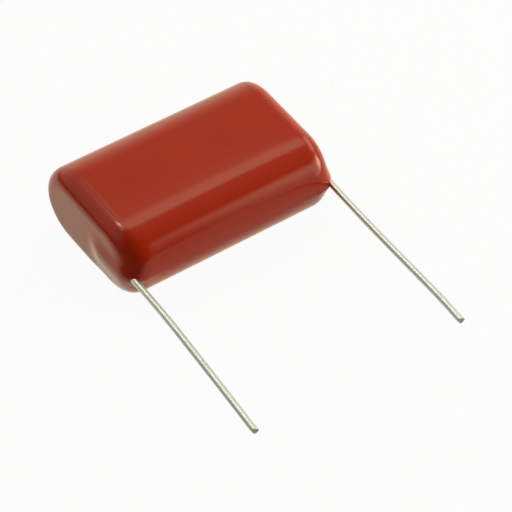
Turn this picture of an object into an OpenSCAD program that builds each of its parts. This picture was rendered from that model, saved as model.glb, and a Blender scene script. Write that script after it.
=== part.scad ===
// Dipped film capacitor: a flattened film roll with sprayed end contacts and
// two welded wire leads, sealed in a smooth epoxy coating.
// It lies on its broad face. X runs from the left lead to the right lead,
// the leads leave towards -Y, and Z = 0 is the face that it rests on.

/* [Leads] */
// Distance between the axes of the two leads where they leave the coating
lead_pitch = 27.5; // [22.5:0.1:32.5]
// Diameter of the tinned wire
wire_diameter = 0.8; // [0.5:0.05:1.2]
// Length of wire that stands out of the coating
lead_length = 25.7; // [12:0.1:40]
// Length of wire welded along the end contact
weld_length = 8; // [5:0.1:15]
// Depth that the weld sinks the wire into the end contact
weld_depth = 0.15; // [0.05:0.05:0.3]
// Outward bend of the left lead, in degrees
left_bend_angle = 3.1; // [0.5:0.1:8]
// Straight wire between the coating and the left lead's bend
left_straight = 2.5; // [1:0.1:6]
// Inward bend of the right lead near its tip, in degrees
right_bend_angle = 2.3; // [0.5:0.1:8]
// Straight wire between the right lead's bend and its tip
right_tail = 5; // [2:0.1:8]

/* [Film roll] */
// Width of the flattened roll, from the lead side to the far side
roll_width = 17; // [14:0.1:24]
// Thickness of the flattened roll
roll_thickness = 8.75; // [5:0.05:11]
// Width of the flat slit that the winding mandrel leaves
slit_width = 5; // [2:0.1:8]
// Height of the slit
slit_height = 0.15; // [0.1:0.05:0.4]
// Thickness of the plain film wrapped round the roll
wrap_thickness = 0.25; // [0.1:0.05:0.5]
// Thickness of the sprayed metal on each end
spray_thickness = 0.5; // [0.4:0.05:1]

/* [Coating] */
// Coating over the two broad faces
face_coat = 0.7; // [0.45:0.05:1.5]
// Coating over the two rounded sides
side_coat = 0.8; // [0.6:0.05:1.5]
// Coating over the end contacts
end_coat = 1.1; // [0.9:0.05:2]
// Radius between each end and the broad faces
end_rounding = 2.2; // [1.2:0.1:2.5]
// Radius of the body's corners beside the leads
lead_corner = 2.6; // [1.6:0.1:3]
// Radius of the body's far corners
far_corner = 2; // [1.4:0.1:2.6]
// Swell of the broad faces above their edges
face_crown = 0.1; // [0.05:0.05:0.4]
// Fullness of the rounded side with the leads, where 2 is round
lead_side_fullness = 2.25; // [2:0.05:2.6]
// Fullness of the far rounded side, where 2 is round
far_side_fullness = 2.05; // [2:0.05:2.6]
// Extra length at the far side's end of each face
end_skew = 0.15; // [0:0.05:0.4]

/* [Coating over the wires] */
// Height of the ridge where the coating runs over a welded wire
ridge_height = 0.35; // [0:0.05:0.6]
// Reach of that ridge above the wire
ridge_rise = 1.2; // [0.8:0.1:3]
// Reach of that ridge below the wire
ridge_drop = 0.8; // [0.5:0.1:2]
// Thicker coating on the lead half of each end
shoulder = 0.12; // [0:0.02:0.3]
// How far the bottom of each end leans back under the wire
under_lean = 0.25; // [0:0.05:0.4]
// Length of the soft point that the coating draws out round each lead
neck_length = 0.45; // [0.2:0.05:1.2]
// Spread of that point along the body
neck_spread = 1.6; // [0.8:0.1:3]
// Reach of that point above the wire
neck_rise = 1.5; // [0.8:0.1:3]
// Reach of that point below the wire
neck_drop = 0.9; // [0.6:0.1:2]

/* [Hidden] */

// Smoothness of the round pieces and of the coating
$fn = 64;
side_steps = 14;
flat_steps = 4;
straight_steps = 4;
rim_steps = 9;
face_steps = 8;

// The film roll, its wrap and its end contacts
wire_radius = wire_diameter / 2;
element_length = lead_pitch - wire_diameter + 2 * weld_depth;
element_width = roll_width + 2 * wrap_thickness;
element_thickness = roll_thickness + 2 * wrap_thickness;
film_length = element_length - 2 * spray_thickness;

// The coating, measured from the middle of the film roll
half_length = element_length / 2 + end_coat;
half_width = element_width / 2 + side_coat;
flat_half_width = (element_width - element_thickness) / 2;
side_reach = half_width - flat_half_width;
face_rise = element_thickness / 2 + face_coat;
straight_half_length = half_length - max(end_rounding, lead_corner, far_corner);

// Height of the middle of the body above the face that it rests on
middle_height = face_rise;

// Places along the leads
weld_end_y = weld_length - element_width / 2;
exit_y = corner_inset(lead_pitch / 2, lead_corner) - half_width - neck_length;

// Where the ridge over a welded wire begins, and the length over which it rises
ridge_lead = 0.5;
ridge_start_y = weld_end_y + ridge_lead;
ridge_run = 2.2;
// Where the thicker coating on the lead half begins, and the height over which it grows
shoulder_top = 2;
shoulder_run = 3;
// Roundness of a neck's tip, and its height above the wire's axis
neck_softness = 0.17;
neck_middle = 0.2;
// How closely the outline's points stand together beside the leads
bunching = 1.3;
// How far a cutting tool runs past the piece that it cuts
overrun = 2;

// 0 below 0, 1 above 1, and a smooth rise between them
function ease(t) = let (c = min(max(t, 0), 1)) c * c * (3 - 2 * c);

// How far an outline has drawn in at a place along the body, round an end's rim
function corner_inset(x, radius) =
    let (past = max(abs(x) - (half_length - radius), 0))
    radius - sqrt(max(radius * radius - past * past, 0));

// Angles up a rounded side, closer together beside the leads
function side_angle(i) = 90 * pow(i / side_steps, bunching);

// One quarter of the outline, from the middle of a side up to the flat
function quarter(x, corner, fullness) =
    let (
        reach = side_reach - corner_inset(x, corner),
        rise = face_rise - corner_inset(x, end_rounding)
    )
    [
        for (i = [0 : side_steps])
            [
                flat_half_width + reach * pow(cos(side_angle(i)), 2 / fullness),
                rise * pow(sin(side_angle(i)), 2 / fullness)
            ]
    ];

// The points between the two ends of the top flat
function flat_points(rise) = [
    for (i = [1 : flat_steps - 1])
        [flat_half_width * (1 - 2 * i / flat_steps), rise]
];

function reversed(list) = [for (i = [len(list) - 1 : -1 : 0]) list[i]];

// The body's outline across its length, in Y and Z, anticlockwise about +X
function outline(x) =
    let (
        far_up = quarter(x, far_corner, far_side_fullness),
        lead_up = [for (p = quarter(x, lead_corner, lead_side_fullness)) [-p[0], p[1]]],
        rise = face_rise - corner_inset(x, end_rounding),
        top = concat(far_up, flat_points(rise), reversed(lead_up)),
        below = [for (i = [len(top) - 2 : -1 : 1]) [top[i][0], -top[i][1]]]
    )
    concat(top, below);

// Rings from the middle of the body to the right end: [x, shrink]
right_rings = concat(
    [for (i = [0 : straight_steps]) [straight_half_length * i / straight_steps, 1]],
    [
        for (i = [1 : rim_steps])
            let (rim = half_length - straight_half_length)
                [straight_half_length + rim * sin(90 * i / rim_steps), 1]
    ],
    [for (i = [1 : face_steps - 1]) [half_length, 1 - i / face_steps]]
);
rings = concat(
    [for (i = [len(right_rings) - 1 : -1 : 1]) [-right_rings[i][0], right_rings[i][1]]],
    right_rings
);

// How far the faces swell above their edges at a place on them
function crown(x, y) =
    face_crown * pow(cos(90 * y / half_width), 2) * (1 - pow(x / half_length, 4));

// How far an end stands out over the wire that is welded behind it
function ridge(y, z) =
    let (
        across = exp(-pow(z / (z > 0 ? ridge_rise : ridge_drop), 2)),
        lean = under_lean * max(-z / face_rise, 0)
    )
    (ridge_height * across + shoulder * ease((shoulder_top - z) / shoulder_run) - lean)
        * ease((ridge_start_y - y) / ridge_run);

// Distance from a neck's tip, rounded off so that the tip is soft
function neck_away(along, up) =
    sqrt(along * along + up * up + neck_softness * neck_softness) - neck_softness;

// How far the coating is drawn out along a lead, to a soft point round the wire
function neck(x, y, z) =
    let (
        along = (abs(x) - lead_pitch / 2) / neck_spread,
        rise = z - neck_middle,
        above = exp(-neck_away(along, rise / neck_rise)),
        below = exp(-neck_away(along, 0) - pow(rise / neck_drop, 2)),
        lead_half = ease((-y - half_width / 4) / (half_width / 2))
    )
    neck_length * (rise > 0 ? above : below) * lead_half;

// A point of the coating's outer skin from its ring and its place in the outline
function skin_point(ring, p) =
    let (
        side = sign(ring[0]),
        y = p[0] * ring[1],
        z = p[1] * ring[1],
        at_end = ease((abs(ring[0]) - half_length) / end_rounding + 1),
        skew = end_skew * y / half_width * ease(abs(ring[0]) / half_length),
        x = ring[0] + side * (skew + ridge(y, z) * at_end),
        swell = crown(ring[0], y) * z / face_rise
    )
    [x, y - neck(x, y, z), z + swell];

// A closed skin through the rings, with one point in the middle of each end
module coating_skin() {
    ring_points = [for (r = rings) [for (p = outline(r[0])) skin_point(r, p)]];
    around = len(ring_points[0]);
    last = len(rings) - 1;
    left_middle = len(rings) * around;
    right_middle = left_middle + 1;
    points = concat(
        [for (ring = ring_points, p = ring) p],
        [for (side = [-1, 1]) skin_point([side * half_length, 0], [0, 0])]
    );
    sides = [
        for (i = [0 : last - 1], j = [0 : around - 1])
            let (
                a = i * around + j,
                b = i * around + (j + 1) % around,
                c = a + around,
                d = b + around
            )
            each [[a, c, b], [b, c, d]]
    ];
    ends = [
        for (j = [0 : around - 1])
            let (k = (j + 1) % around)
            each [[left_middle, j, k], [right_middle, last * around + k, last * around + j]]
    ];
    polyhedron(points = points, faces = concat(sides, ends), convexity = 4);
}

// Outline of a flattened roll
module stadium(width, thickness) {
    square([width - thickness, thickness], center = true);
    for (side = [-1, 1])
        translate([side * (width - thickness) / 2, 0])
            circle(d = thickness);
}

// A piece with its outline across the body's length, from one x to another
module along_body(from_x, to_x) {
    translate([from_x, 0, middle_height])
        rotate([90, 0, 90])
            linear_extrude(height = to_x - from_x)
                children();
}

// Straight wire from the inner end of its weld, towards -Y
module wire_root(side, length) {
    translate([side * lead_pitch / 2, weld_end_y, middle_height])
        rotate([90, 0, 0])
            cylinder(h = length, r = wire_radius, $fn = 32);
}

// One arm of a bent wire, from the mitre plane towards -Y and turned by an angle
module wire_arm(length, turn) {
    overlap = wire_diameter;
    difference() {
        rotate([90, 0, turn])
            translate([0, 0, -overlap])
                cylinder(h = length + overlap, r = wire_radius, $fn = 32);
        translate([-overlap, 0, -overlap])
            cube(2 * overlap);
    }
}

// A lead: welded and coated, then straight past the coating to a slight bend
// towards -X, and straight again to its cut tip
module bent_lead(side, straight, bend, tail) {
    bend_y = exit_y - straight;
    translate([side * lead_pitch / 2, bend_y, middle_height])
        rotate([0, 0, -bend / 2]) {
            wire_arm(tail, -bend / 2);
            mirror([0, 1, 0])
                wire_arm(weld_end_y - bend_y, -bend / 2);
        }
}

// Sprayed end contact, from the film's end to the element's end, with the
// groove that the welded wire lies in
module end_spray(side) {
    inner_x = film_length / 2;
    difference() {
        along_body(side > 0 ? inner_x : -element_length / 2, side > 0 ? element_length / 2 : -inner_x)
            stadium(element_width, element_thickness);
        wire_root(side, weld_length + overrun);
    }
}

module epoxy_coating() {
    color("#A5341E")
        difference() {
            translate([0, 0, middle_height])
                coating_skin();
            // The flat that it settled on while it cured
            translate([-lead_pitch, -lead_pitch, -2 * face_crown])
                cube([2 * lead_pitch, 2 * lead_pitch, 2 * face_crown]);
            along_body(-element_length / 2, element_length / 2)
                stadium(element_width, element_thickness);
            for (side = [-1, 1])
                wire_root(side, weld_end_y - exit_y + overrun);
        }
}

module outer_film_wrap() {
    color("#E8D9A8")
        along_body(-film_length / 2, film_length / 2)
            difference() {
                stadium(element_width, element_thickness);
                stadium(roll_width, roll_thickness);
            }
}

module film_winding() {
    color("#C9CCCF")
        along_body(-film_length / 2, film_length / 2)
            difference() {
                stadium(roll_width, roll_thickness);
                square([slit_width, slit_height], center = true);
            }
}

module end_spray_left() {
    color("#8E9194")
        end_spray(-1);
}

module end_spray_right() {
    color("#8E9194")
        end_spray(1);
}

module lead_left() {
    color("#B9B8AC")
        bent_lead(-1, left_straight, left_bend_angle, lead_length - left_straight);
}

module lead_right() {
    color("#B9B8AC")
        bent_lead(1, lead_length - right_tail, right_bend_angle, right_tail);
}

epoxy_coating();
outer_film_wrap();
film_winding();
end_spray_left();
end_spray_right();
lead_left();
lead_right();
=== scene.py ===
"""Looks of a dipped film capacitor: its epoxy coat, its tinned leads and the parts sealed inside.

The part lies on its broad face, with Z = 0 the face that it rests on. X runs from the left lead
to the right lead, and the leads leave towards -Y. Lengths are in millimetres until a mesh, a
lamp or the camera takes them, which `metres` does.
"""

import bisect
import math

import bmesh
import bpy
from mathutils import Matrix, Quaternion, Vector


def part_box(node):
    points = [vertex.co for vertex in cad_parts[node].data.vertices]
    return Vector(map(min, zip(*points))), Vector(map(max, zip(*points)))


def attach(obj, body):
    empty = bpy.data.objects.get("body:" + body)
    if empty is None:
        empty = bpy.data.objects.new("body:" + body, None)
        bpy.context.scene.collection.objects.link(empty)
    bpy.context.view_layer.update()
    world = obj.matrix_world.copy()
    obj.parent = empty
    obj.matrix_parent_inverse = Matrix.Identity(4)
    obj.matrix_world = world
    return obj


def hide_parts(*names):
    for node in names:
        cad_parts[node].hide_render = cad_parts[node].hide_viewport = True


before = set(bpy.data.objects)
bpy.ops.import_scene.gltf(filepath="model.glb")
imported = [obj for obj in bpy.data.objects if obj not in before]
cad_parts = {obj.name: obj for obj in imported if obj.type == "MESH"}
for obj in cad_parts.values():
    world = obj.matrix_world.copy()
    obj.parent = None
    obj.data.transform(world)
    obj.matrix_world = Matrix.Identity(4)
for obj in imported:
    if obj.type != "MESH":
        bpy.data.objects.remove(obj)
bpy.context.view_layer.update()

# ---------------------------------------------------------------- sizes

MM = 0.001

# The leads, as the part's source gives them
LEAD_PITCH = 27.5
WIRE_RADIUS = 0.4
LEAD_LENGTH = 25.7
WELD_LENGTH = 8
WELD_DEPTH = 0.15

# The film element inside
ELEMENT_WIDTH = 17.5
ELEMENT_THICKNESS = 9.25
ELEMENT_LENGTH = LEAD_PITCH - 2 * WIRE_RADIUS + 2 * WELD_DEPTH

# The coat over the ends, and its radii at the ends and at its corners
END_COAT = 1.1
END_ROUNDING = 2.2
LEAD_CORNER = 2.6
FAR_CORNER = 1.7
# Swell of the broad faces, and how far their edges lie below the full height
FACE_CROWN = 0.17
FACE_EDGE_DROP = 0.07
# Extra radius of each upper corner over a lead, where the wet epoxy slumped
LEFT_SLUMP = 1.2
RIGHT_SLUMP = 0.3
# Fullness of each rounded side, where 2 is round
LEAD_SIDE_FULLNESS = 2.25
LEAD_UNDER_FULLNESS = 2.12
FAR_SIDE_FULLNESS = 2.05
# Extra length at the far side's end of each face
END_SKEW = 0.05
# The ridge over a welded wire: its height, its reach above and below the wire, the place where
# it begins past the weld, and the length over which it rises
RIDGE_HEIGHT = 0.32
RIDGE_RISE = 1.2
RIDGE_DROP = 2.4
RIDGE_LEAD = 0.5
RIDGE_RUN = 3.0
# The thicker coat on the lead half of each end, the height where it begins and the height over
# which it grows
SHOULDER = 0.12
SHOULDER_TOP = 2
SHOULDER_RUN = 3
# How far the bottom of each end leans back under the wire
UNDER_LEAN = 0.34
# The soft point that the coat draws out round a lead: its length, its spread along the body, its
# reach above and below the wire, its height above the wire's axis, and its tip's roundness
NECK_LENGTH = 0.45
NECK_SPREAD = 1.6
NECK_RISE = 1.5
NECK_DROP = 0.9
NECK_MIDDLE = 0.2
NECK_SOFTNESS = 0.17

half_width = (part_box("epoxy_coating")[1] / MM).y
half_length = ELEMENT_LENGTH / 2 + END_COAT
straight_half_length = half_length - LEAD_CORNER
lead_low, lead_high = (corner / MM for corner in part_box("lead_left"))
middle_height = (lead_low.z + lead_high.z) / 2
face_rise = middle_height
flat_half_width = (ELEMENT_WIDTH - ELEMENT_THICKNESS) / 2
side_reach = half_width - flat_half_width
weld_end_y = WELD_LENGTH - ELEMENT_WIDTH / 2

# How finely the coat is drawn, and how closely its outline's points stand together beside the
# leads
BUNCHING = 1.3
SIDE_STEPS = 36
FLAT_STEPS = 10
STRAIGHT_STEPS = 40
RIM_STEPS = 26
FACE_STEPS = 14
SPACE_STEPS = 24


def metres(*lengths):
    """A point given in millimetres, as a vector in metres."""
    return Vector(lengths) * MM


def ease(t):
    """0 below 0, 1 above 1, and a smooth rise between them."""
    c = min(max(t, 0.0), 1.0)
    return c * c * (3 - 2 * c)


def corner_inset(x, radius):
    """How far an outline has drawn in at a place along the body, round an end's rim."""
    past = max(abs(x) - (half_length - radius), 0)
    return radius - math.sqrt(max(radius * radius - past * past, 0))


exit_y = corner_inset(LEAD_PITCH / 2, LEAD_CORNER) - half_width - NECK_LENGTH
ridge_start_y = weld_end_y + RIDGE_LEAD


# ---------------------------------------------------------------- camera

# Where the camera stands round the body's middle, how far it aims beside and below that middle,
# and its tilt and lens
CAMERA_AZIMUTH = -33.97
CAMERA_ELEVATION = 46.07
CAMERA_DISTANCE = 312.84
CAMERA_RIGHT = 7.88
CAMERA_DROP = 8.42
CAMERA_ROLL = 1.57
SENSOR_WIDTH = 36
LENS_LENGTH = 184.59
NEAR_LIMIT = 10
FAR_LIMIT = 20000


def direction(azimuth, elevation):
    """The unit vector towards a place round the part: azimuth 0 is in front, 90 on the right."""
    a, e = math.radians(azimuth), math.radians(elevation)
    return Vector((math.sin(a) * math.cos(e), -math.cos(a) * math.cos(e), math.sin(e)))


def place_camera():
    """The camera looks down on the part from its front left corner."""
    lens = bpy.data.cameras.new("camera")
    lens.sensor_width = SENSOR_WIDTH
    lens.lens = LENS_LENGTH
    camera = bpy.data.objects.new("camera", lens)
    bpy.context.scene.collection.objects.link(camera)
    back = direction(CAMERA_AZIMUTH, CAMERA_ELEVATION)
    right = direction(CAMERA_AZIMUTH + 90, 0)
    up = back.cross(right)
    body_middle = metres(0, 0, middle_height)
    camera.location = body_middle + back * CAMERA_DISTANCE * MM
    aim = body_middle + (right * CAMERA_RIGHT - up * CAMERA_DROP) * MM
    level = (camera.location - aim).to_track_quat("Z", "Y")
    roll = Quaternion((0, 0, 1), math.radians(CAMERA_ROLL))
    camera.rotation_euler = (level @ roll).to_euler()
    lens.clip_start = NEAR_LIMIT * MM
    lens.clip_end = FAR_LIMIT * MM
    bpy.context.scene.camera = camera


# ---------------------------------------------------------------- meshes


def new_piece(name, mesh, node, slot, *materials):
    """A mesh that stands for a CAD node, rides on the part and takes the materials given to it.
    Its slot is not used.
    """
    data = bpy.data.meshes.new(name)
    mesh.to_mesh(data)
    mesh.free()
    for material in materials:
        data.materials.append(material)
    piece = bpy.data.objects.new(name, data)
    bpy.context.scene.collection.objects.link(piece)
    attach(piece, "root")
    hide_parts(node)
    return piece


def join_rings(mesh, rings, smooth=True, material_index=0):
    """Skins a row of equal closed rings of vertices."""
    for ring, following in zip(rings, rings[1:]):
        count = len(ring)
        for i in range(count):
            j = (i + 1) % count
            face = mesh.faces.new((ring[i], ring[j], following[j], following[i]))
            face.smooth = smooth
            face.material_index = material_index


def close_ring(mesh, ring, middle, smooth=True, material_index=0):
    """Closes a ring with triangles to a vertex in its middle."""
    centre = mesh.verts.new(middle)
    count = len(ring)
    for i in range(count):
        face = mesh.faces.new((ring[i], ring[(i + 1) % count], centre))
        face.smooth = smooth
        face.material_index = material_index


# ---------------------------------------------------------------- epoxy coat


def quarter(x, corner, fullness, slump=0):
    """One quarter of the coat's outline, from the middle of a side up to the flat."""
    rise = face_rise - FACE_EDGE_DROP - corner_inset(x, END_ROUNDING)
    points = []
    for i in range(SIDE_STEPS + 1):
        angle = math.radians(90 * (i / SIDE_STEPS) ** BUNCHING)
        reach = side_reach - corner_inset(x, corner + slump * math.sin(angle))
        out = reach * max(math.cos(angle), 0) ** (2 / fullness)
        points.append((flat_half_width + out, rise * math.sin(angle) ** (2 / fullness)))
    return points


def outline(x):
    """The coat's outline across its length, in Y and Z, anticlockwise about +X."""
    far = quarter(x, FAR_CORNER, FAR_SIDE_FULLNESS)
    lead_up = quarter(x, LEAD_CORNER, LEAD_SIDE_FULLNESS, LEFT_SLUMP if x < 0 else RIGHT_SLUMP)
    lead_down = quarter(x, LEAD_CORNER, LEAD_UNDER_FULLNESS)
    rise = far[-1][1]
    flat = [(flat_half_width * (1 - 2 * i / FLAT_STEPS), rise) for i in range(1, FLAT_STEPS)]
    above = far + flat + [(-y, z) for y, z in lead_up[::-1]]
    below = far + flat + [(-y, z) for y, z in lead_down[::-1]]
    return above + [(y, -z) for y, z in below[-2:0:-1]]


def coat_rings():
    """Rings from the left end to the right end, each with its x and its shrink."""
    right = [(straight_half_length * i / STRAIGHT_STEPS, 1) for i in range(STRAIGHT_STEPS + 1)]
    for i in range(1, RIM_STEPS + 1):
        turn = math.radians(90 * i / RIM_STEPS)
        right.append((straight_half_length + LEAD_CORNER * math.sin(turn), 1))
    right += [(half_length, 1 - i / FACE_STEPS) for i in range(1, FACE_STEPS)]
    left = [(-x, shrink) for x, shrink in right[:0:-1]]
    return left + right


def crown(x, y):
    """How far the broad faces swell above their edges."""
    across = math.cos(math.radians(90 * y / half_width)) ** 2
    return FACE_CROWN * across * (1 - (x / half_length) ** 4)


def ridge(y, z):
    """How far an end stands out over the wire that is welded behind it."""
    across = math.exp(-((z / (RIDGE_RISE if z > 0 else RIDGE_DROP)) ** 2))
    under = UNDER_LEAN * ease(-z / face_rise)
    out = RIDGE_HEIGHT * across + SHOULDER * ease((SHOULDER_TOP - z) / SHOULDER_RUN) - under
    return out * ease((ridge_start_y - y) / RIDGE_RUN)


def neck_away(along, up):
    """Distance from a neck's tip, rounded off so that the tip is soft."""
    return math.sqrt(along * along + up * up + NECK_SOFTNESS**2) - NECK_SOFTNESS


def neck(x, y, z):
    """How far the coat is drawn out along a lead, to a soft point round the wire."""
    along = (abs(x) - LEAD_PITCH / 2) / NECK_SPREAD
    rise = z - NECK_MIDDLE
    if rise > 0:
        near = math.exp(-neck_away(along, rise / NECK_RISE))
    else:
        near = math.exp(-neck_away(along, 0) - (rise / NECK_DROP) ** 2)
    lead_half = ease((-y - half_width / 4) / (half_width / 2))
    return NECK_LENGTH * near * lead_half


def coat_point(x, y, z):
    """A point of the coat's outer skin from its place on the plain body."""
    side = math.copysign(1, x)
    at_end = ease((abs(x) - half_length) / END_ROUNDING + 1)
    skew = END_SKEW * y / half_width * ease(abs(x) / half_length)
    out = x + side * (skew + ridge(y, z) * at_end)
    swell = crown(x, y) * z / face_rise
    height = max(z + swell + middle_height, 0)
    return metres(out, y - neck(out, y, z), height)


def stadium(width, thickness):
    """The outline of the flattened film roll, in Y and Z, anticlockwise about +X."""
    radius = thickness / 2
    points = []
    for side in (1, -1):
        for i in range(SPACE_STEPS + 1):
            angle = math.radians(-90 + 180 * i / SPACE_STEPS)
            y = (width / 2 - radius) + radius * math.cos(angle)
            points.append((side * y, side * radius * math.sin(angle)))
    return points


def epoxy_coat(*materials):
    """The dipped coat: a smooth skin outside, and the space for the film element inside."""
    mesh = bmesh.new()
    rings = []
    for x, shrink in coat_rings():
        points = [coat_point(x, y * shrink, z * shrink) for y, z in outline(x)]
        rings.append([mesh.verts.new(p) for p in points])
    join_rings(mesh, rings)
    close_ring(mesh, rings[0], coat_point(-half_length, 0, 0))
    close_ring(mesh, rings[-1][::-1], coat_point(half_length, 0, 0))
    space = stadium(ELEMENT_WIDTH, ELEMENT_THICKNESS)
    walls = [
        [mesh.verts.new(metres(x, y, z + middle_height)) for y, z in space[::-1]]
        for x in (-ELEMENT_LENGTH / 2, ELEMENT_LENGTH / 2)
    ]
    join_rings(mesh, walls, smooth=False)
    mesh.faces.new(walls[0])
    mesh.faces.new(walls[1][::-1])
    bmesh.ops.recalc_face_normals(mesh, faces=mesh.faces)
    # The walls of the space face into it, away from the epoxy
    bmesh.ops.reverse_faces(mesh, faces=[face for face in mesh.faces if not face.smooth])
    return new_piece("epoxy_coat", mesh, "epoxy_coating", "epoxy", *materials)


# ---------------------------------------------------------------- leads

WIRE_SIDES = 48
WIRE_STEP = 0.1

# The cutter pinches a lead's tip by a share of its width, and raises a lip on one side of the
# cut. Angles run round the wire in degrees
PINCH_LENGTH = 0.3
PINCH_SHARE = 0.22
BURR_LIP = 0.18
BURR_ANGLE = -8
BURR_WIDTH = 26

# A nick that handling left in the left lead, and how far out of the coat it lies
NICK_DEPTH = 0.1
NICK_LENGTH = 0.15
NICK_ANGLE = 46
NICK_WIDTH = 30
NICK_OUT = 14.2

# Offsets of each lead: distance out of the coat, then aside and up
LEFT_BENDS = [
    (-11, (0.0, 0.0)),
    (-1, (-0.1, 0.1)),
    (3, (-0.13, 0.1)),
    (7, (-0.19, 0.05)),
    (11, (-0.35, 0.0)),
    (15, (-0.56, 0.0)),
    (18.5, (-0.76, 0.0)),
    (22, (-0.97, 0.0)),
    (26, (-1.19, 0.0)),
]
RIGHT_BENDS = [
    (-11, (0.0, 0.0)),
    (-1, (0.24, 0.25)),
    (3, (0.19, 0.15)),
    (7, (0.17, 0.05)),
    (11, (0.16, 0.0)),
    (19, (0.15, 0.0)),
    (22, (0.11, 0.0)),
    (26, (-0.06, 0.0)),
]


def bump(distance, width):
    """1 at no distance, and a soft fall to 0 past a width."""
    return math.exp(-((distance / width) ** 2))


def lead_offset(out, bends):
    """How far a lead stands aside and up from its straight line at a distance out of the coat."""
    places = [place for place, _ in bends]
    k = min(max(bisect.bisect(places, out), 1), len(bends) - 1)
    before, after = bends[max(k - 2, 0)][1], bends[min(k + 1, len(bends) - 1)][1]
    (start, from_offset), (end, to_offset) = bends[k - 1], bends[k]
    t = min(max((out - start) / (end - start), 0.0), 1.0)
    offset = []
    for p, a, b, q in zip(before, from_offset, to_offset, after):
        rise_a, rise_b = (b - p) / 2, (q - a) / 2
        h = t * t * (3 - 2 * t)
        offset.append(a + (b - a) * h + t * (1 - t) * ((1 - t) * rise_a - t * rise_b))
    return offset


def lead(name, node, side, bends, nick_out, *materials):
    """A lead: a round wire along its gentle bends, with a pinched and burred tip. Its inner end
    is sealed in the coat."""
    mesh = bmesh.new()
    total = weld_end_y - exit_y + LEAD_LENGTH
    count = round(total / WIRE_STEP)
    rings = []
    for i in range(count + 1):
        y = weld_end_y - total * i / count
        out = exit_y - y
        across, up = lead_offset(out, bends)
        x = side * LEAD_PITCH / 2 + across
        pinch = ease(1 - (total - total * i / count) / PINCH_LENGTH)
        ring = []
        for k in range(WIRE_SIDES):
            turn = 360 * k / WIRE_SIDES
            burr = pinch * bump((turn - BURR_ANGLE + 180) % 360 - 180, BURR_WIDTH)
            nick = bump(out - nick_out, NICK_LENGTH) * bump(turn - NICK_ANGLE, NICK_WIDTH)
            radius = WIRE_RADIUS - NICK_DEPTH * nick + BURR_LIP * burr
            dx = radius * math.cos(math.radians(turn)) * (1 - PINCH_SHARE * pinch)
            dz = radius * math.sin(math.radians(turn))
            ring.append(mesh.verts.new(metres(x + dx, y, middle_height + up + dz)))
        rings.append(ring)
    join_rings(mesh, rings)
    for ring in (rings[0], rings[-1][::-1]):
        middle = sum((v.co for v in ring), Vector()) / WIRE_SIDES
        close_ring(mesh, ring, middle, smooth=False, material_index=1)
    bmesh.ops.recalc_face_normals(mesh, faces=mesh.faces)
    return new_piece(name, mesh, node, "tinned_wire", *materials)


# ---------------------------------------------------------------- materials

# The epoxy's long waves and their height, its mottle's grain and the mottle's share of the
# relief, and the runs where the coat is thicker
PEEL_SIZE = 2.4
PEEL_HEIGHT = 0.012
MOTTLE_SIZE = 0.3
MOTTLE_SHARE = 0.05
RUN_SIZE = 8.0
# The die's lines along a wire: their width, how many times longer they are, and their depth
LINE_SIZE = 0.12
LINE_STRETCH = 60
LINE_DEPTH = 0.0001
# Clouds of oxide on the tin, and the tears in a cut end
CLOUD_SIZE = 1.6
TEAR_SIZE = 0.15
TEAR_DEPTH = 0.02
# The film's turns, and the wrinkles round the plain film
TURN_SIZE = 2.5
TURN_DEPTH = 0.005
WRINKLE_SIZE = 1.4
WRINKLE_STRETCH = 6
WRINKLE_HEIGHT = 0.02
# The sprayed zinc's grains
ZINC_GRAIN = 0.25
ZINC_RELIEF = 0.05
# The range in which most of a noise's values lie
NOISE_LOW = 0.3
NOISE_HIGH = 0.7


def colour(hex_value):
    """The linear colour of an sRGB hex value."""
    channels = [int(hex_value[i : i + 2], 16) / 255 for i in (1, 3, 5)]
    linear = [c / 12.92 if c <= 0.04045 else ((c + 0.055) / 1.055) ** 2.4 for c in channels]
    return (*linear, 1.0)


def add(tree, kind, inputs=None, **settings):
    """Adds a node, makes its settings, and fills or links its inputs."""
    node = tree.nodes.new(kind)
    for name, value in settings.items():
        setattr(node, name, value)
    for socket, value in (inputs or {}).items():
        if isinstance(value, bpy.types.NodeSocket):
            tree.links.new(value, node.inputs[socket])
        else:
            node.inputs[socket].default_value = value
    return node


def new_material(name):
    """An empty material, with its node tree and its output."""
    material = bpy.data.materials.new(name)
    material.use_nodes = True
    tree = material.node_tree
    tree.nodes.clear()
    return material, tree, add(tree, "ShaderNodeOutputMaterial")


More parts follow.
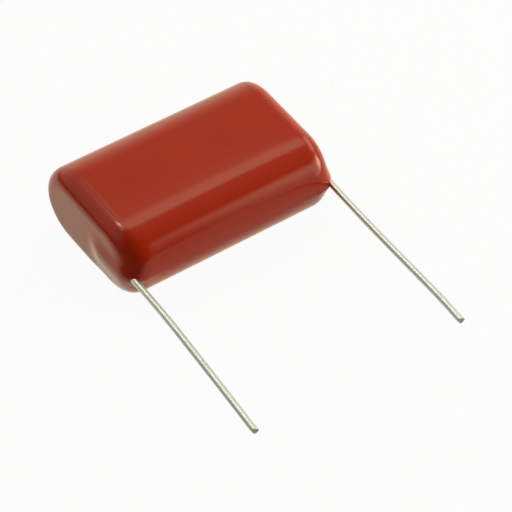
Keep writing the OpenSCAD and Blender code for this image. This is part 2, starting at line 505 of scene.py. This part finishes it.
def dipped_epoxy():
    """Brick-red filled epoxy, dipped and baked. It flows out to a gloss with the faint orange
    peel of long soft waves, and the filler's fine mottle shows in its colour and its sheen."""
    material, tree, output = new_material("dipped_epoxy")
    place = add(tree, "ShaderNodeTexCoord").outputs["Object"]
    waves = add(
        tree,
        "ShaderNodeTexNoise",
        {"Vector": place, "Scale": 1 / (PEEL_SIZE * MM), "Detail": 1.0},
    )
    # The filler's grains are a tenth of this: drawn coarser, so that they show
    grains = add(
        tree,
        "ShaderNodeTexNoise",
        {"Vector": place, "Scale": 1 / (MOTTLE_SIZE * MM), "Detail": 3.0},
    )
    runs = add(
        tree,
        "ShaderNodeTexNoise",
        {"Vector": place, "Scale": 1 / (RUN_SIZE * MM), "Detail": 1.0},
    )
    mottle = add(
        tree,
        "ShaderNodeMix",
        {0: grains.outputs[0], 6: colour("#C1331B"), 7: colour("#AA2811")},
        data_type="RGBA",
    )
    depth = add(
        tree,
        "ShaderNodeMix",
        {0: runs.outputs[0], 6: mottle.outputs[2], 7: colour("#AF2A10")},
        data_type="RGBA",
    )
    sheen = add(
        tree,
        "ShaderNodeMapRange",
        {
            "Value": grains.outputs[0],
            "From Min": NOISE_LOW,
            "From Max": NOISE_HIGH,
            "To Min": 0.11,
            "To Max": 0.17,
        },
    )
    surface = add(
        tree,
        "ShaderNodeMath",
        {0: grains.outputs[0], 1: MOTTLE_SHARE, 2: waves.outputs[0]},
        operation="MULTIPLY_ADD",
    )
    relief = add(
        tree,
        "ShaderNodeBump",
        {"Strength": 1.0, "Distance": PEEL_HEIGHT * MM, "Height": surface.outputs[0]},
    )
    shader = add(
        tree,
        "ShaderNodeBsdfPrincipled",
        {
            "Base Color": depth.outputs[2],
            "Roughness": sheen.outputs[0],
            "IOR": 1.46,
            "Normal": relief.outputs[0],
        },
    )
    tree.links.new(shader.outputs["BSDF"], output.inputs["Surface"])
    return material


def tinned_wire():
    """Copper wire, drawn and then plated with tin. The tin is pale and satin, with soft lines
    along the wire from the drawing die and clouds of thin oxide."""
    material, tree, output = new_material("tinned_wire")
    place = add(tree, "ShaderNodeTexCoord").outputs["Object"]
    along = add(tree, "ShaderNodeMapping", {"Vector": place, "Scale": (1, 1 / LINE_STRETCH, 1)})
    # The die's lines are a tenth of this: drawn coarser, so that they show
    lines = add(
        tree,
        "ShaderNodeTexNoise",
        {"Vector": along.outputs[0], "Scale": 1 / (LINE_SIZE * MM), "Detail": 1.0},
    )
    clouds = add(
        tree,
        "ShaderNodeTexNoise",
        {"Vector": place, "Scale": 1 / (CLOUD_SIZE * MM), "Detail": 2.0},
    )
    oxide = add(
        tree,
        "ShaderNodeMix",
        {0: clouds.outputs[0], 6: colour("#DCE1E4"), 7: colour("#C9CED1")},
        data_type="RGBA",
    )
    sheen = add(
        tree,
        "ShaderNodeMapRange",
        {
            "Value": lines.outputs[0],
            "From Min": NOISE_LOW,
            "From Max": NOISE_HIGH,
            "To Min": 0.39,
            "To Max": 0.42,
        },
    )
    relief = add(
        tree,
        "ShaderNodeBump",
        {"Strength": 1.0, "Distance": LINE_DEPTH * MM, "Height": lines.outputs[0]},
    )
    shader = add(
        tree,
        "ShaderNodeBsdfPrincipled",
        {
            "Base Color": oxide.outputs[2],
            "Metallic": 1.0,
            "Roughness": sheen.outputs[0],
            "Normal": relief.outputs[0],
        },
    )
    tree.links.new(shader.outputs["BSDF"], output.inputs["Surface"])
    return material


def sheared_wire():
    """A wire's cut end: dull metal with tin smeared over it, torn rough by the cutter."""
    material, tree, output = new_material("sheared_wire")
    place = add(tree, "ShaderNodeTexCoord").outputs["Object"]
    tears = add(
        tree,
        "ShaderNodeTexNoise",
        {"Vector": place, "Scale": 1 / (TEAR_SIZE * MM), "Detail": 3.0},
    )
    smear = add(
        tree,
        "ShaderNodeMix",
        {0: tears.outputs[0], 6: colour("#BFC0B2"), 7: colour("#8C8D7E")},
        data_type="RGBA",
    )
    relief = add(
        tree,
        "ShaderNodeBump",
        {"Strength": 1.0, "Distance": TEAR_DEPTH * MM, "Height": tears.outputs[0]},
    )
    shader = add(
        tree,
        "ShaderNodeBsdfPrincipled",
        {
            "Base Color": smear.outputs[2],
            "Metallic": 0.6,
            "Roughness": 0.6,
            "Normal": relief.outputs[0],
        },
    )
    tree.links.new(shader.outputs["BSDF"], output.inputs["Surface"])
    return material


def metallised_polypropylene():
    """Polypropylene film with a vacuum-deposited skin of zinc, wound and pressed flat: silvery
    and satin, with the edges of its turns as fine lines."""
    material, tree, output = new_material("metallised_polypropylene")
    place = add(tree, "ShaderNodeTexCoord").outputs["Object"]
    # One turn is a fortieth of this thick: drawn coarser, so that the turns show
    turns = add(
        tree,
        "ShaderNodeTexWave",
        {"Vector": place, "Scale": 1 / (TURN_SIZE * MM), "Distortion": 0.6, "Detail": 1.0},
        bands_direction="Z",
    )
    skin = add(
        tree,
        "ShaderNodeMix",
        {0: turns.outputs[1], 6: colour("#C9CCCF"), 7: colour("#B4B7BB")},
        data_type="RGBA",
    )
    sheen = add(
        tree,
        "ShaderNodeMapRange",
        {"Value": turns.outputs[1], "To Min": 0.25, "To Max": 0.4},
    )
    relief = add(
        tree,
        "ShaderNodeBump",
        {"Strength": 1.0, "Distance": TURN_DEPTH * MM, "Height": turns.outputs[1]},
    )
    shader = add(
        tree,
        "ShaderNodeBsdfPrincipled",
        {
            "Base Color": skin.outputs[2],
            "Metallic": 1.0,
            "Roughness": sheen.outputs[0],
            "Normal": relief.outputs[0],
        },
    )
    tree.links.new(shader.outputs["BSDF"], output.inputs["Surface"])
    return material


def plain_polypropylene():
    """Clear polypropylene film, wound over the roll and shrunk on by heat: straw yellow where
    its turns lie thick, glossy, with soft wrinkles round the roll."""
    material, tree, output = new_material("plain_polypropylene")
    place = add(tree, "ShaderNodeTexCoord").outputs["Object"]
    stretch = (1, 1 / WRINKLE_STRETCH, 1 / WRINKLE_STRETCH)
    round_roll = add(tree, "ShaderNodeMapping", {"Vector": place, "Scale": stretch})
    wrinkles = add(
        tree,
        "ShaderNodeTexNoise",
        {"Vector": round_roll.outputs[0], "Scale": 1 / (WRINKLE_SIZE * MM), "Detail": 1.0},
    )
    film = add(
        tree,
        "ShaderNodeMix",
        {0: wrinkles.outputs[0], 6: colour("#EADCAE"), 7: colour("#D8C68E")},
        data_type="RGBA",
    )
    sheen = add(
        tree,
        "ShaderNodeMapRange",
        {"Value": wrinkles.outputs[0], "To Min": 0.12, "To Max": 0.3},
    )
    relief = add(
        tree,
        "ShaderNodeBump",
        {"Strength": 1.0, "Distance": WRINKLE_HEIGHT * MM, "Height": wrinkles.outputs[0]},
    )
    shader = add(
        tree,
        "ShaderNodeBsdfPrincipled",
        {
            "Base Color": film.outputs[2],
            "Roughness": sheen.outputs[0],
            "IOR": 1.49,
            "Normal": relief.outputs[0],
        },
    )
    tree.links.new(shader.outputs["BSDF"], output.inputs["Surface"])
    return material


def arc_sprayed_zinc():
    """Zinc sprayed molten on to the film's edges: dull grey metal, granular and porous."""
    material, tree, output = new_material("arc_sprayed_zinc")
    place = add(tree, "ShaderNodeTexCoord").outputs["Object"]
    grains = add(
        tree,
        "ShaderNodeTexNoise",
        {"Vector": place, "Scale": 1 / (ZINC_GRAIN * MM), "Detail": 4.0},
    )
    metal = add(
        tree,
        "ShaderNodeMix",
        {0: grains.outputs[0], 6: colour("#84878B"), 7: colour("#AEB0B3")},
        data_type="RGBA",
    )
    sheen = add(
        tree,
        "ShaderNodeMapRange",
        {"Value": grains.outputs[0], "To Min": 0.55, "To Max": 0.85},
    )
    relief = add(
        tree,
        "ShaderNodeBump",
        {"Strength": 1.0, "Distance": ZINC_RELIEF * MM, "Height": grains.outputs[0]},
    )
    shader = add(
        tree,
        "ShaderNodeBsdfPrincipled",
        {
            "Base Color": metal.outputs[2],
            "Metallic": 1.0,
            "Roughness": sheen.outputs[0],
            "Normal": relief.outputs[0],
        },
    )
    tree.links.new(shader.outputs["BSDF"], output.inputs["Surface"])
    return material


# ---------------------------------------------------------------- studio

# The floor's half width. The camera sees this share of it as white paper and the rest as lit card
FLOOR_HALF = 4000
WHITE_SHARE = 0.95
# The floor in reflections: how bright it is beside and behind the part; how bright the painted
# shadow in front of the part's middle and the painted shade to its left are, and where each begins
# and ends
OPEN_GLOW = 0.98
PAINTED_SHADOW_GLOW = 0.6
PAINTED_SHADOW_START = 9.8
PAINTED_SHADOW_END = 13
LEFT_PAINTED_SHADE_GLOW = 0.1
LEFT_PAINTED_SHADE_START = 25
LEFT_PAINTED_SHADE_END = 45
LAMP_COLOUR = "#FFFCDC"
ROOM_COLOUR = "#F8F7E0"
# The room brightens towards this azimuth and elevation, from one cosine of the angle to it to
# another
ROOM_WAY = (131, 0)
ROOM_DIM = -0.45
ROOM_OPEN = 0.6
ROOM_FRONT = 0.0
ROOM_BACK = 0.36
# A pale wall stands this way, and its glow begins at this cosine
WALL_WAY = (-133, 28)
WALL_EDGE = 0.5
WALL_GLOW = 0.5


def white_sweep():
    """Matt white card under the part. The camera sees it white, with the part's shadow. In
    reflections it glows white beside and behind the part, with a painted shadow of the part in
    front of it and painted shade on its left."""
    material, tree, output = new_material("white_sweep")
    card = add(tree, "ShaderNodeBsdfDiffuse", {"Color": colour("#D8D8E4")})
    path = add(tree, "ShaderNodeLightPath")
    paper = add(
        tree,
        "ShaderNodeEmission",
        {"Color": (1, 1, 1, 1), "Strength": path.outputs["Is Camera Ray"]},
    )
    shown = add(
        tree,
        "ShaderNodeMath",
        {0: path.outputs["Is Camera Ray"], 1: WHITE_SHARE},
        operation="MULTIPLY",
    )
    surface = add(
        tree,
        "ShaderNodeMixShader",
        {0: shown.outputs[0], 1: card.outputs["BSDF"], 2: paper.outputs[0]},
    )
    place = add(tree, "ShaderNodeNewGeometry")
    parts = add(tree, "ShaderNodeSeparateXYZ", {0: place.outputs["Position"]})
    # Painted shadow: the floor's glow in reflections dims in front of the part, where its shadow
    # falls
    painted_shadow_ahead = add(
        tree,
        "ShaderNodeMapRange",
        {
            "Value": parts.outputs["Y"],
            "From Min": -PAINTED_SHADOW_END * MM,
            "From Max": -PAINTED_SHADOW_START * MM,
            "To Min": PAINTED_SHADOW_GLOW,
            "To Max": OPEN_GLOW,
        },
        interpolation_type="SMOOTHSTEP",
    )
    # Painted shade: the floor's glow in reflections dims far to the part's left
    aside = add(
        tree,
        "ShaderNodeMapRange",
        {
            "Value": parts.outputs["X"],
            "From Min": -LEFT_PAINTED_SHADE_END * MM,
            "From Max": -LEFT_PAINTED_SHADE_START * MM,
            "To Min": LEFT_PAINTED_SHADE_GLOW,
            "To Max": 1.0,
        },
        interpolation_type="SMOOTHSTEP",
    )
    strength = add(
        tree,
        "ShaderNodeMath",
        {0: painted_shadow_ahead.outputs[0], 1: aside.outputs[0]},
        operation="MULTIPLY",
    )
    # The floor's glow as reflections see it: white, with the painted shadow and painted shade in
    # it
    glow_with_painted_shade = add(
        tree,
        "ShaderNodeEmission",
        {"Color": colour(LAMP_COLOUR), "Strength": strength.outputs[0]},
    )
    reflected = add(
        tree,
        "ShaderNodeMath",
        {0: path.outputs["Is Glossy Ray"], 1: path.outputs["Is Transmission Ray"]},
        operation="MAXIMUM",
    )
    floor = add(
        tree,
        "ShaderNodeMixShader",
        {0: reflected.outputs[0], 1: surface.outputs[0], 2: glow_with_painted_shade.outputs[0]},
    )
    tree.links.new(floor.outputs[0], output.inputs["Surface"])
    return material


def lay_floor(material):
    """A wide pale floor at the height that the part rests on."""
    mesh = bmesh.new()
    corners = [(-1, -1), (1, -1), (1, 1), (-1, 1)]
    mesh.faces.new([mesh.verts.new(metres(FLOOR_HALF * x, FLOOR_HALF * y, 0)) for x, y in corners])
    data = bpy.data.meshes.new("floor")
    mesh.to_mesh(data)
    mesh.free()
    data.materials.append(material)
    floor = bpy.data.objects.new("floor", data)
    bpy.context.scene.collection.objects.link(floor)


def softbox(name, place, aim, size, radiance, fades):
    """A rectangular soft lamp. Its fades are the shares of its left, right, low and high edges
    over which its light dies away."""
    lamp = bpy.data.lights.new(name, "AREA")
    lamp.shape = "RECTANGLE"
    lamp.size, lamp.size_y = size[0] * MM, size[1] * MM
    lamp.color = colour(LAMP_COLOUR)[:3]
    lamp.energy = radiance * math.pi * lamp.size * lamp.size_y
    lamp.use_nodes = True
    tree = lamp.node_tree
    tree.nodes.clear()
    place_on_lamp = add(tree, "ShaderNodeNewGeometry")
    uv = add(tree, "ShaderNodeSeparateXYZ", {0: place_on_lamp.outputs["Parametric"]})
    edges = [
        add(
            tree,
            "ShaderNodeMapRange",
            {
                "Value": uv.outputs[axis],
                "From Min": 0.0 if rising else 1.0,
                "From Max": share if rising else 1.0 - share,
            },
            interpolation_type="SMOOTHSTEP",
        )
        for share, axis, rising in zip(fades, (0, 0, 1, 1), (True, False, True, False))
        if share
    ]
    strength = edges[0]
    for edge in edges[1:]:
        strength = add(
            tree,
            "ShaderNodeMath",
            {0: strength.outputs[0], 1: edge.outputs[0]},
            operation="MULTIPLY",
        )
    light = add(tree, "ShaderNodeEmission", {"Strength": strength.outputs[0]})
    output = add(tree, "ShaderNodeOutputLight")
    tree.links.new(light.outputs[0], output.inputs[0])
    box = bpy.data.objects.new(name, lamp)
    bpy.context.scene.collection.objects.link(box)
    box.location = metres(*place)
    box.rotation_euler = (metres(*place) - metres(*aim)).to_track_quat("Z", "Y").to_euler()
    box.visible_camera = False


# Each lamp: its place, the point it faces, its size, its radiance and the shares of its left,
# right, low and high edges over which its light dies away
LAMPS = {
    "above": ((60, 210, 500), (60, 210, 0), (600, 380), 1.45, (0.15, 0.1, 0.65, 0.13)),
    "spot": ((-100, 220, 500), (0, 0, 0), (150, 200), 10, (0.45, 0.45, 0.35, 0.5)),
    "strip": ((110, 350, 500), (0, 0, 0), (150, 140), 0.5, (0.3, 0.3, 0.3, 0.3)),
    "key": ((514, -273, 145), (0, 0, 0), (360, 340), 6.4, (0.35, 0.35, 0.35, 0.35)),
    "high": ((485, 50, 350), (0, 0, 0), (520, 420), 2.4, (0.35, 0.35, 0.35, 0.35)),
    "front": ((216, -236, 112), (0, 0, 5), (290, 280), 2.1, (0.3, 0.0, 0.1, 0.35)),
    "back": ((250, 520, 230), (0, 0, 60), (1400, 700), 0.8, (0.2, 0.2, 0.0, 0.9)),
}


def light_room():
    """A dim room that opens towards the back right, with a pale wall at the back left."""
    world = bpy.data.worlds.new("room")
    world.use_nodes = True
    tree = world.node_tree
    tree.nodes.clear()
    way = add(tree, "ShaderNodeTexCoord").outputs["Generated"]
    across = add(
        tree,
        "ShaderNodeVectorMath",
        {0: way, 1: direction(*ROOM_WAY)},
        operation="DOT_PRODUCT",
    )
    behind = add(
        tree,
        "ShaderNodeMapRange",
        {
            "Value": across.outputs["Value"],
            "From Min": ROOM_DIM,
            "From Max": ROOM_OPEN,
            "To Min": ROOM_FRONT,
            "To Max": ROOM_BACK,
        },
        interpolation_type="SMOOTHSTEP",
    )
    towards = add(
        tree,
        "ShaderNodeVectorMath",
        {0: way, 1: direction(*WALL_WAY)},
        operation="DOT_PRODUCT",
    )
    wall = add(
        tree,
        "ShaderNodeMapRange",
        {
            "Value": towards.outputs["Value"],
            "From Min": WALL_EDGE,
            "From Max": 1.0,
            "To Max": WALL_GLOW,
        },
        interpolation_type="SMOOTHSTEP",
    )
    strength = add(tree, "ShaderNodeMath", {0: behind.outputs[0], 1: wall.outputs[0]})
    room = add(
        tree,
        "ShaderNodeBackground",
        {"Color": colour(ROOM_COLOUR), "Strength": strength.outputs[0]},
    )
    output = add(tree, "ShaderNodeOutputWorld")
    tree.links.new(room.outputs[0], output.inputs["Surface"])
    bpy.context.scene.world = world


# ---------------------------------------------------------------- making

scene = bpy.context.scene
scene.view_settings.view_transform = "Standard"
place_camera()
epoxy_coat(dipped_epoxy())
wire, cut = tinned_wire(), sheared_wire()
lead("wire_left", "lead_left", -1, LEFT_BENDS, NICK_OUT, wire, cut)
lead("wire_right", "lead_right", 1, RIGHT_BENDS, math.inf, wire, cut)
inside = {
    "film_winding": metallised_polypropylene(),
    "outer_film_wrap": plain_polypropylene(),
    "end_spray_left": arc_sprayed_zinc(),
}
inside["end_spray_right"] = inside["end_spray_left"]
for node, material in inside.items():
    for material_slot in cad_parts[node].material_slots:
        material_slot.material = material
lay_floor(white_sweep())
light_room()
for name, settings in LAMPS.items():
    softbox(name, *settings)

bpy.context.view_layer.update()
